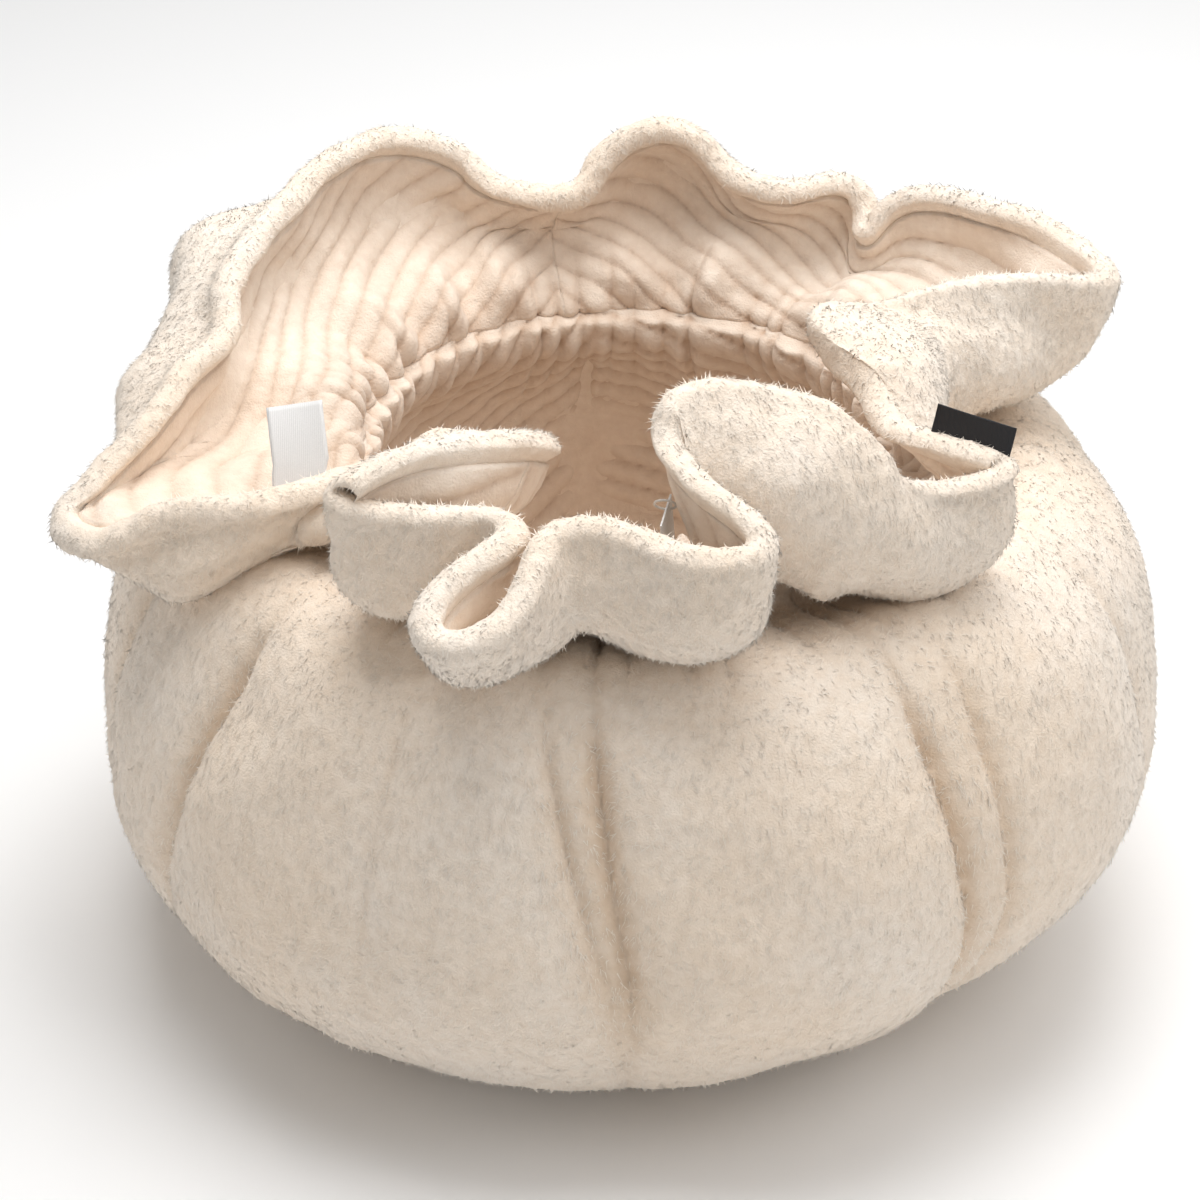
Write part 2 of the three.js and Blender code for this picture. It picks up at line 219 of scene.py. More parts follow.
def grid_normals(grid: np.ndarray, closed_rows: bool) -> np.ndarray:
    """Normals of a grid of places whose columns run around and close.

    Args:
        grid: Places, as rows x columns x 3.
        closed_rows: Whether the rows close too.

    Returns:
        Unit normals, as across x along.
    """
    along = np.roll(grid, -1, axis=1) - np.roll(grid, 1, axis=1)
    across = np.roll(grid, -1, axis=0) - np.roll(grid, 1, axis=0)
    if not closed_rows:
        across[0] = grid[1] - grid[0]
        across[-1] = grid[-1] - grid[-2]
    return unit(np.cross(along, across))


# --- Mesh helpers -----------------------------------------------------------------------------


class Ends(Enum):
    """How a lofted piece ends."""

    JOINED = "the sections run all the way round"
    CAPPED = "the piece is a strip with a cap at each end"


def add_object(name: str, data: bpy.types.ID) -> bpy.types.Object:
    """Make an object and put it in the scene.

    Args:
        name: Its name.
        data: Its mesh, light or camera.

    Returns:
        The new object.
    """
    item = bpy.data.objects.new(name, data)
    bpy.context.scene.collection.objects.link(item)
    return item


def smooth_shade(mesh: bpy.types.Mesh) -> None:
    """Shade all faces of a mesh smooth.

    Args:
        mesh: The mesh to change.
    """
    mesh.polygons.foreach_set("use_smooth", [True] * len(mesh.polygons))


def loft(name: str, grid: np.ndarray, painted_shade: np.ndarray, ends: Ends = Ends.JOINED) -> bpy.types.Object:
    """Skin closed cross-sections into one closed body.

    Args:
        name: The piece's name.
        grid: Places in millimetres, as places round the section x sections x 3.
        painted_shade: How much painted shade each place gets, more the deeper it lies in a groove, crease or
            pleat, 0 to 1, as the grid.
        ends: Whether the last section joins the first.

    Returns:
        The new object, smooth shaded, with its faces pointing out.
    """
    rows, columns = grid.shape[:2]
    index = np.arange(rows * columns).reshape(rows, columns)
    is_strip = ends is Ends.CAPPED
    start = index[:, :-1] if is_strip else index
    end = index[:, 1:] if is_strip else np.roll(index, -1, axis=1)
    corners = [start, end, np.roll(end, -1, axis=0), np.roll(start, -1, axis=0)]
    faces = np.stack(corners, axis=-1).reshape(-1, 4)
    places = grid.reshape(-1, 3) * MM
    quads = places[faces]
    spread = np.cross(quads[:, 2] - quads[:, 0], quads[:, 3] - quads[:, 1])
    polygons = faces.tolist()
    if is_strip:
        polygons += [index[:, 0].tolist(), index[:, -1].tolist()[::-1]]
    if (quads.mean(axis=1) * spread).sum() < 0:
        polygons = [polygon[::-1] for polygon in polygons]
    mesh = bpy.data.meshes.new(name)
    mesh.from_pydata(places.tolist(), [], polygons)
    smooth_shade(mesh)
    # The hollow attribute carries painted shade: the pile finish darkens each place towards its root colour
    # by this much.
    layer = mesh.attributes.new("painted_shade", "FLOAT", "POINT")
    layer.data.foreach_set("value", painted_shade.reshape(-1).astype(np.float32))
    mesh.update()
    return add_object(name, mesh)


def dress(piece: bpy.types.Object, material: bpy.types.Material, slot: str, *nodes: str) -> None:
    """Give a piece of the bed's body its finish, parent it to the bed's body, and hide the solids that it
    stands for.

    Args:
        piece: The piece.
        material: Its finish.
        slot: Not used.
        *nodes: The solids that it stands for.
    """
    piece.data.materials.append(material)
    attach(piece, BED)
    if nodes:
        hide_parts(*nodes)
    log.info("%s: %d faces", piece.name, len(piece.data.polygons))


@dataclass(frozen=True)
class Fleece:
    """Fine tufts that stand out of a pile cloth's face, combed one way with some disorder."""

    name: str
    length: float
    width: float
    lean: float
    seed: int
    lean_spread: float = 6.0
    root_depth: float = 0.6

    def build(self, grid: np.ndarray, normals: np.ndarray, material: bpy.types.Material) -> bpy.types.Object:
        """Plant the tufts evenly over a face.

        Args:
            grid: The face's places in millimetres, rows x columns x 3, its columns closed.
            normals: The face's unit normals, as the grid.
            material: The finish of the tufts.

        Returns:
            One object that holds all the tufts.
        """
        draw = np.random.default_rng(self.seed)
        side = np.roll(grid, -1, axis=1)[:-1] - grid[:-1]
        climb = grid[1:] - grid[:-1]
        area = np.linalg.norm(np.cross(side, climb), axis=-1).reshape(-1)
        chosen = draw.choice(area.size, TUFT_COUNT, p=area / area.sum())
        row, column = np.unravel_index(chosen, side.shape[:2])
        share = draw.random((TUFT_COUNT, 2, 1))
        root = grid[row, column] + side[row, column] * share[:, 0] + climb[row, column] * share[:, 1]
        out = normals[row, column]
        comb = np.stack([
            0.5 * cloth_noise(root, 60.0, self.seed),
            0.5 * cloth_noise(root, 60.0, self.seed + 1),
            -0.8 + 0.4 * cloth_noise(root, 45.0, self.seed + 2),
        ], axis=-1)
        comb = comb + 0.5 * draw.standard_normal((TUFT_COUNT, 3))
        comb = unit(comb - out * (comb * out).sum(axis=-1, keepdims=True))
        lean = np.radians(self.lean + self.lean_spread * draw.standard_normal((TUFT_COUNT, 1)))
        length = self.length * (0.7 + 0.6 * draw.random((TUFT_COUNT, 1)))
        tip = root + length * (out * np.cos(lean) + comb * np.sin(lean))
        across = 0.5 * self.width * np.cross(out, comb)
        foot = root - out * self.root_depth
        corners = [tip, foot + across, foot - across, foot - out * 0.5 - comb * 0.3]
        places = np.stack(corners, axis=1).reshape(-1, 3) * MM
        first = (np.arange(TUFT_COUNT) * 4)[:, None, None]
        faces = (first + TUFT_FACES).reshape(-1, 3)
        mesh = bpy.data.meshes.new(self.name)
        mesh.from_pydata(places.tolist(), [], faces.tolist())
        smooth_shade(mesh)
        mesh.normals_split_custom_set_from_vertices(np.repeat(out, 4, axis=0).tolist())
        tufts = add_object(self.name, mesh)
        dress(tufts, material, "cream_plush")
        return tufts


# --- Finishes ---------------------------------------------------------------------------------


class NodeKit:
    """A new node material and the few nodes that every finish here needs."""

    def __init__(self, name: str, roughness: float) -> None:
        """Make the material.

        Args:
            name: Its name.
            roughness: The shader's roughness.
        """
        self.material = bpy.data.materials.new(name)
        self.material.use_nodes = True
        self.nodes = self.material.node_tree.nodes
        self.shader = self.nodes["Principled BSDF"]
        self.shader.inputs["Roughness"].default_value = roughness

    def link(self, source: bpy.types.NodeSocket, target: bpy.types.NodeSocket) -> None:
        """Join two sockets.

        Args:
            source: The output.
            target: The input.
        """
        self.material.node_tree.links.new(source, target)

    def place(self) -> bpy.types.NodeSocket:
        """Add the Object coordinates.

        Returns:
            Their socket.
        """
        return self.nodes.new("ShaderNodeTexCoord").outputs["Object"]

    def noise(
        self, place: bpy.types.NodeSocket, scale: float, detail: float = 2.0
    ) -> bpy.types.NodeSocket:
        """Add a noise.

        Args:
            place: The coordinates to read.
            scale: Its scale.
            detail: Its detail.

        Returns:
            The socket of its value.
        """
        noise = self.nodes.new("ShaderNodeTexNoise")
        noise.inputs["Scale"].default_value = scale
        noise.inputs["Detail"].default_value = detail
        self.link(place, noise.inputs["Vector"])
        return noise.outputs["Fac"]

    def spread(
        self, value: bpy.types.NodeSocket, low: float, high: float, top: float
    ) -> bpy.types.NodeSocket:
        """Stretch a range of values to start at 0.

        Args:
            value: The value to stretch.
            low: Where the range starts.
            high: Where it ends.
            top: What its end becomes.

        Returns:
            The socket of the result.
        """
        spread = self.nodes.new("ShaderNodeMapRange")
        spread.inputs["From Min"].default_value = low
        spread.inputs["From Max"].default_value = high
        spread.inputs["To Max"].default_value = top
        self.link(value, spread.inputs["Value"])
        return spread.outputs["Result"]

    def add(
        self, first: bpy.types.NodeSocket, second: bpy.types.NodeSocket, clamp: bool
    ) -> bpy.types.NodeSocket:
        """Add two values.

        Args:
            first: The first value.
            second: The second value.
            clamp: Whether the sum stays between 0 and 1.

        Returns:
            The socket of the sum.
        """
        total = self.nodes.new("ShaderNodeMath")
        total.operation = "ADD"
        total.use_clamp = clamp
        self.link(first, total.inputs[0])
        self.link(second, total.inputs[1])
        return total.outputs[0]

    def mix(self, factor: bpy.types.NodeSocket, second: Sequence[float]) -> bpy.types.Node:
        """Add a mix of two colours, whose first is still to be set.

        Args:
            factor: How much of the second colour there is.
            second: The second colour.

        Returns:
            The node.
        """
        mix = self.nodes.new("ShaderNodeMix")
        mix.data_type = "RGBA"
        mix.inputs["B"].default_value = (*second, 1.0)
        self.link(factor, mix.inputs["Factor"])
        return mix

    def bump(self, height: bpy.types.NodeSocket, strength: float, distance: float) -> None:
        """Give the shader a fine relief.

        Args:
            height: The relief's height.
            strength: How strong it is.
            distance: How high it is, in metres.
        """
        bump = self.nodes.new("ShaderNodeBump")
        bump.inputs["Strength"].default_value = strength
        bump.inputs["Distance"].default_value = distance
        self.link(height, bump.inputs["Height"])
        self.link(bump.outputs["Normal"], self.shader.inputs["Normal"])


@dataclass(frozen=True)
class PlushFinish:
    """Short pile cloth: soft clumps, a brighter fringe at grazing angles, and painted shade that darkens the
    grooves.
    """

    name: str
    tip: tuple[float, float, float]
    # The root colour gives random clumps their darker tone and is also the painted shade in grooves, creases
    # and pleats.
    root: tuple[float, float, float]
    warm: tuple[float, float, float]
    fibre_scale: float = 850.0
    clump_scale: float = 160.0
    patch_scale: float = 9.0
    pile_height: float = 0.002
    bump: float = 0.4
    speckle: float = 0.25

    def build(self) -> bpy.types.Material:
        """Make the material.

        Returns:
            A node material that reads Object coordinates and the hollow attribute, which paints shade into
            the grooves with the root colour.
        """
        kit = NodeKit(self.name, roughness=0.92)
        kit.shader.inputs["Specular IOR Level"].default_value = 0.15
        kit.shader.inputs["Sheen Weight"].default_value = 0.45
        kit.shader.inputs["Sheen Roughness"].default_value = 0.45
        kit.shader.inputs["Sheen Tint"].default_value = (1.0, 0.95, 0.88, 1.0)
        place = kit.place()
        clumps = kit.noise(place, self.clump_scale, 3.0)
        patches = kit.noise(place, self.patch_scale, 4.0)
        fibres = kit.noise(place, self.fibre_scale, 3.0)
        painted_shade = kit.nodes.new("ShaderNodeAttribute")
        painted_shade.attribute_name = "painted_shade"
        patchy = kit.mix(kit.spread(patches, 0.35, 0.65, 1.0), self.warm)
        patchy.inputs["A"].default_value = (*self.tip, 1.0)
        speckle = kit.spread(clumps, 0.35, 0.75, self.speckle)
        # Random clumps and the painted shade in grooves both mix the root colour in.
        shade = kit.mix(kit.add(speckle, painted_shade.outputs["Fac"], clamp=True), self.root)
        kit.link(patchy.outputs["Result"], shade.inputs["A"])
        kit.link(shade.outputs["Result"], kit.shader.inputs["Base Color"])
        kit.bump(kit.add(clumps, fibres, clamp=False), self.bump, self.pile_height)
        return kit.material


@dataclass(frozen=True)
class WovenFinish:
    """Flat woven or printed stuff: labels, ribbon, elastic, card and base cloth."""

    name: str
    color: tuple[float, float, float]
    thread_scale: float = 1500.0
    roughness: float = 0.7
    bump: float = 0.25
    shaded: float = 0.82
    thread_height: float = 0.0003

    def build(self) -> bpy.types.Material:
        """Make the material.

        Returns:
            A node material with fine crossing threads on Object coordinates.
        """
        kit = NodeKit(self.name, self.roughness)
        place = kit.place()
        threads = kit.nodes.new("ShaderNodeTexWave")
        threads.inputs["Scale"].default_value = self.thread_scale / 6.0
        threads.inputs["Distortion"].default_value = 0.6
        kit.link(place, threads.inputs["Vector"])
        shade = kit.mix(kit.noise(place, self.thread_scale), self.color)
        shade.inputs["A"].default_value = (*[self.shaded * part for part in self.color], 1.0)
        kit.link(shade.outputs["Result"], kit.shader.inputs["Base Color"])
        kit.bump(threads.outputs["Fac"], self.bump, self.thread_height)
        return kit.material


# --- Body -------------------------------------------------------------------------------------


def bezier(points: Sequence[tuple[float, float]], steps: int) -> np.ndarray:
    """Places along a cubic curve.

    Args:
        points: Its four (radius, height) control points.
        steps: How many steps.

    Returns:
        steps + 1 places, both ends included.
    """
    share = np.linspace(0.0, 1.0, steps + 1)[:, None]
    a, b, c, d = (np.array(point, dtype=float) for point in points)
    rest = 1.0 - share
    return rest**3 * a + 3 * rest**2 * share * b + 3 * rest * share**2 * c + share**3 * d


def even_path(path: np.ndarray, count: int) -> np.ndarray:
    """Spread places evenly along a path.

    Args:
        path: The path's places.
        count: How many places to return.

    Returns:
        The places, both ends included.
    """
    lengths = np.concatenate([[0.0], np.cumsum(np.linalg.norm(np.diff(path, axis=0), axis=1))])
    stops = np.linspace(0.0, lengths[-1], count)
    return np.stack([np.interp(stops, lengths, path[:, k]) for k in range(path.shape[1])], axis=1)


def body_path() -> np.ndarray:
    """The body's outside, from the base over the shoulder into the neck.

    Returns:
        Places as (radius, height), in millimetres.
    """
    return np.concatenate([
        bezier([(175, 3.3), (217, 16.8), (280, 74), (280, 135)], 40),
        bezier([(280, 135), (280, 196), (249, 270), (203, 270)], 40)[1:],
        bezier([(203, 270), (178.5, 270), (154, 257.7), (154, 267.7)], 24)[1:],
        [[154.0, 281.7]],
    ])


def bowl_path() -> np.ndarray:
    """The bowl's inside, from the neck down to the edge of its floor.

    Returns:
        Places as (radius, height), in millimetres.
    """
    return np.concatenate([
        [[144.0, 281.7]],
        bezier([(144, 267.7), (144, 247.7), (182, 233), (182, 160)], 50),
        bezier([(182, 160), (182, 108), (160, 66), (120.3, 66)], 40)[1:],
    ])


def gather(angle: np.ndarray) -> np.ndarray:
    """How far the cloth stands out in the small pleats at the neck.

    Args:
        angle: Angle about the bed's axis, in radians.

    Returns:
        0 in the bottom of a pleat to 1 on its crest.
    """
    circle = np.stack([np.cos(angle), np.sin(angle)], axis=-1) * NECK_RADIUS
    wander = cloth_noise(circle, 34.0, NECK_SEED) * 0.9 + cloth_noise(circle, 15.0, NECK_SEED + 5) * 0.35
    size = 0.65 + 0.35 * cloth_noise(circle, 22.0, NECK_SEED + 9)
    return np.abs(np.sin(angle * NECK_PLEATS + wander * 2.6)) ** 0.7 * size


def pleat_lift(points: np.ndarray, pleats: np.ndarray) -> np.ndarray:
    """How far lumpy pleats lift the lining's face at the neck.

    Args:
        points: Places on the cloth.
        pleats: How high each place stands in its pleat, from 0 to 1.

    Returns:
        Distances in millimetres.
    """
    return 8.0 * pleats * (1.0 + 0.6 * cloth_noise(points, 16.0, LUMP_SEED))


@dataclass(frozen=True)
class Crease:
    """A pulled-in pleat that runs down the body from the neck."""

    angle: float
    depth: float
    width: float
    bottom: float
    drift: float = 0.0

    def pull(self, angle: np.ndarray, height: np.ndarray) -> np.ndarray:
        """How far the crease pulls the cover in.

        Args:
            angle: Angles about the axis, in degrees.
            height: Heights above the base, in millimetres.

        Returns:
            Distances in millimetres.
        """
        middle = self.angle + self.drift * (SHOULDER_HEIGHT - height) / SHOULDER_HEIGHT
        off = (angle - middle + 180.0) % 360.0 - 180.0
        fade = smooth_step(self.bottom, self.bottom + 110.0, height)
        fade = fade * (0.45 + 0.55 * height / SHOULDER_HEIGHT)
        sharp = np.exp(-np.abs(off / self.width) ** 1.3)
        wide = np.exp(-((off / (6.0 * self.width)) ** 2))
        return self.depth * fade * (0.6 * sharp + 0.4 * wide)


@dataclass
class RingBody:
    """The filled ring: its cover, its filling and the cloth under it."""

    cover: bpy.types.Material
    tufts: bpy.types.Material
    filling: bpy.types.Material
    underside: bpy.types.Material
    columns: int = 900
    rows: int = 128
    lean: float = 20.0
    floor_gap: float = 0.6
    fill_gap: float = 6.0
    fill_columns: int = 240
    creases: tuple[Crease, ...] = (
        Crease(-139, 17, 1.3, 20, -14), Crease(-116, 7, 1.4, 0, -3), Crease(-95, 20, 1.2, 30, 9),
        Crease(-101, 10, 1.0, -60, 16), Crease(-58, 20, 1.2, 10, 9), Crease(-50, 12, 1.0, -60, 4),
        Crease(-22, 8, 1.6, 60, 6), Crease(12, 14, 1.3, 10, 3), Crease(47, 18, 1.4, 20, -4),
        Crease(79, 10, 1.2, 0, 3), Crease(108, 19, 1.3, 30, 5), Crease(139, 12, 1.4, 10, -4),
        Crease(170, 16, 1.5, 30, 4), Crease(196, 10, 1.3, 40, -4),
    )

    def _surface(self, path: np.ndarray, columns: int, inset: float) -> tuple[np.ndarray, np.ndarray]:
        """Turn a path around the axis, with creases, gathers and slack.

        Args:
            path: (radius, height) places.
            columns: Places around.
            inset: How far the surface lies inside the cover's outside, in millimetres.

        Returns:
            The grid of places and how much painted shade each one gets, in the creases and in the bottoms of
            the small neck pleats.
        """
        angle = full_turn(columns)
        radius = path[:, 0][:, None] + 0.0 * angle
        height = path[:, 1][:, None] + 0.0 * angle
        degrees = np.degrees(angle)
        pull = sum(crease.pull(degrees, height) for crease in self.creases)
        body = smooth_step(4.0, 60.0, height) * smooth_step(281.0, 225.0, height)
        shoulder = smooth_step(222.0, 168.0, radius) * smooth_step(150.0, 240.0, height)
        place = turned(radius, angle, height)
        slack = 5.0 * cloth_noise(place, 120.0, 3) + 2.6 * cloth_noise(place, 46.0, 4)
        pleats = gather(angle + 0.0 * height)
        small = 9.0 * (pleats - 0.5) * shoulder * smooth_step(281.0, 262.0, height)
        at_neck = smooth_step(262.0, 276.0, height)
        normal = unit(np.stack([np.gradient(path[:, 1]), -np.gradient(path[:, 0])], axis=-1))
        move = (slack + 4.0 - pull) * body + small * (1.0 - at_neck) + 6.0 * pleats * at_neck - inset
        radius = radius + normal[:, 0][:, None] * move
        height = height + normal[:, 1][:, None] * move
        shift = -self.lean * np.clip(1.0 - height / WIDEST_HEIGHT, 0.0, 1.0) ** 1.2
        grid = turned(radius, angle, np.maximum(height, self.floor_gap))
        grid[..., 0] += shift
        # Painted shade: the creases and the bottoms of the small pleats at the shoulder are darkened towards
        # the root colour.
        painted_shade = np.clip((pull - 4.0) * body / 22.0, 0.0, 0.5) + (1.0 - pleats) * 0.35 * shoulder
        return grid, np.clip(painted_shade, 0.0, 1.0)

    def build(self) -> None:
        """Make the cover, the filling and the underside, and dress them."""
        path = even_path(body_path(), self.rows)
        outside, painted_shade = self._surface(path, self.columns, 0.0)
        outward = grid_normals(outside, False)
        outside = outside + outward * pile(outside, 51)[..., None] * 0.9
        inside, inner_painted_shade = self._surface(even_path(body_path(), 24), self.columns, COVER_THICKNESS)
        grid = np.concatenate([outside, inside[::-1]])
        cover = loft("ring_cover", grid, np.concatenate([painted_shade, inner_painted_shade[::-1]]))
        dress(cover, self.cover, "cream_plush", "outer_cover")
        seen = slice(4, self.rows - 6)
        fleece = Fleece("ring_pile", length=4.6, width=0.8, lean=71.0, seed=201)
        fleece.build(outside[seen], outward[seen], self.tufts)
        self._build_filling()
        self._build_underside()

    def _build_filling(self) -> None:
        """Make the loose filling of the ring."""
        outer_path = even_path(body_path(), 40)
        outer_path = outer_path[outer_path[:, 1] < 250.0]
        outside, _ = self._surface(outer_path, self.fill_columns, self.fill_gap)
        angle = full_turn(self.fill_columns)
        inner = bowl_path()
        inner = even_path(inner[inner[:, 1] < 240.0], 30)
        inside = turned(inner[:, 0][:, None] + 12.0, angle, inner[:, 1][:, None] - 4.0)
        foot = turned(130.0, angle, 4.0)
        grid = np.concatenate([outside, inside, foot])
        fill = loft("ring_filling", grid, np.zeros(grid.shape[:2]))
        dress(fill, self.filling, "fibre_fill", "ring_fill")

    def _build_underside(self) -> None:
        """Make the cloth that closes the ring at the bottom."""
        radius = np.array([4.0, 60.0, 120.0, 171.0, 173.5, 173.5, 171.0, 120.0, 60.0, 4.0])[:, None]
        height = np.array([0.0, 0.0, 0.0, 0.0, 0.4, 2.4, 2.8, 2.8, 2.8, 2.8])[:, None]
        grid = turned(radius, full_turn(180), height)
        grid[..., 0] -= self.lean
        disc = loft("underside_cloth", grid, np.zeros(grid.shape[:2]))
        dress(disc, self.underside, "base_cloth", "base_cloth")


@dataclass
class Bowl:
    """The ribbed wall and floor inside the ring."""

    lining: bpy.types.Material
    columns: int = 760
    rows: int = 120
    rib_pitch: float = 12.5
    rib_height: float = 3.4
    seam_angle: float = 98.0
    rib_tilts: tuple[float, ...] = (-14.0, 30.0, -38.0, 42.0)
    gore_angle: float = 90.0
    gore_radius: float = 170.0
    floor_rows: int = 80

    def build(self) -> None:
        """Make the wall and the floor, and dress them."""
        path = even_path(bowl_path(), self.rows)
        angle = full_turn(self.columns)
        down = np.linspace(0.0, 240.0, self.rows)[:, None]
        radius = path[:, 0][:, None] + 0.0 * angle
        height = path[:, 1][:, None] + 0.0 * angle
        clockwise = (self.seam_angle - np.degrees(angle)) % 360.0
        gore = np.floor(clockwise / self.gore_angle).astype(int) % len(self.rib_tilts)
        tilt = np.radians(np.array(self.rib_tilts)[gore])
        place = turned(radius, angle, height)
        sideways = (clockwise - gore * self.gore_angle) * math.pi / 180.0 * self.gore_radius
        wander = 2.0 * cloth_noise(place, 60.0, 61)
        phase = (down * np.cos(tilt) + sideways * np.sin(tilt) + wander) / self.rib_pitch
        rib = np.abs(np.sin(math.pi * phase)) ** 0.42
        past_seam = clockwise % self.gore_angle
        from_seam = np.minimum(past_seam, self.gore_angle - past_seam) * math.pi / 180.0 * radius
        seam = np.exp(-((from_seam / 3.5) ** 2))
        seam_wide = np.exp(-((from_seam / 16.0) ** 2))
        pleats = gather(angle + 0.0 * height)
        near_neck = smooth_step(130.0, 0.0, down) ** 1.5
        lumps = 6.5 * cloth_noise(place, 70.0, 62) + 3.5 * cloth_noise(place, 30.0, 63)
        fold = smooth_step(15.0, 60.0, down) * smooth_step(238.0, 180.0, down)
        move = self.rib_height * (rib - 0.4) * (1.0 - 0.6 * seam)
        move = move - 5.0 * seam * fold - 4.0 * seam_wide * fold
        at_neck = smooth_step(0.0, 8.0, down) * smooth_step(38.0, 13.0, down)
        move = move + pleat_lift(place, pleats) * near_neck + lumps * fold + 7.0 * at_neck
        normal = unit(np.stack([np.gradient(path[:, 1]), -np.gradient(path[:, 0])], axis=-1))
        radius = radius + normal[:, 0][:, None] * move
        crest = 283.0 + 4.0 * cloth_noise(place, 28.0, 97)
        height = height + normal[:, 1][:, None] * move + 4.0 * at_neck
        height = np.minimum(height, crest)
        inside = turned(radius, angle, height)
        inside = inside + grid_normals(inside, False) * pile(inside, 71)[..., None] * -0.5
        back_path = even_path(bowl_path(), 16)[::-1]
        back = turned(back_path[:, 0][:, None] + 4.0, angle, back_path[:, 1][:, None] - 1.0)
        # Painted shade: the rib valleys, the seams between the gores and the bottoms of the neck pleats are
        # darkened towards the root colour.
        painted_shade = (1.0 - rib) * 0.7 + 0.5 * seam + 0.45 * (1.0 - pleats) * near_neck
        grid = np.concatenate([inside, back])
        painted_shade = np.concatenate([np.clip(painted_shade, 0.0, 1.0), np.zeros(back.shape[:2])])
        wall = loft("bowl_wall", grid, painted_shade)
        gores = [f"bowl_panel_{number}" for number in range(1, len(self.rib_tilts) + 1)]
        dress(wall, self.lining, "beige_plush", *gores)
        self._build_floor()

    def _build_floor(self) -> None:
        """Make the soft floor of the bowl."""
        angle = full_turn(360)
        top_radius = np.linspace(1.0, 122.0, self.floor_rows)
        radius = np.concatenate([top_radius, [123.5, 123.5], np.linspace(121.0, 1.0, 10)])[:, None]
        top = 67.0 + 5.0 * (1.0 - (np.linspace(0.0, 1.0, self.floor_rows)) ** 2.5)
        level = np.concatenate([top, [65.0, 62.6], np.full(10, 62.2)])[:, None] + 0.0 * angle
        x, y = radius * np.cos(angle), radius * np.sin(angle)
        rib = np.abs(np.sin(math.pi * (x * 0.5 + y * 0.87) / self.rib_pitch)) ** 0.55
        upper = np.zeros_like(level)
        upper[: self.floor_rows] = 1.0
        place = np.stack([x, y, level], axis=-1)
        level = level + upper * (self.rib_height * (rib - 0.5) + 0.5 * pile(place, 81))
        # The floor's rib valleys get painted shade.
        floor = loft("bowl_floor_cushion", np.stack([x, y, level], axis=-1), (1.0 - rib) * 0.7 * upper)
        dress(floor, self.lining, "beige_plush", "bowl_floor")


# --- Collar -----------------------------------------------------------------------------------


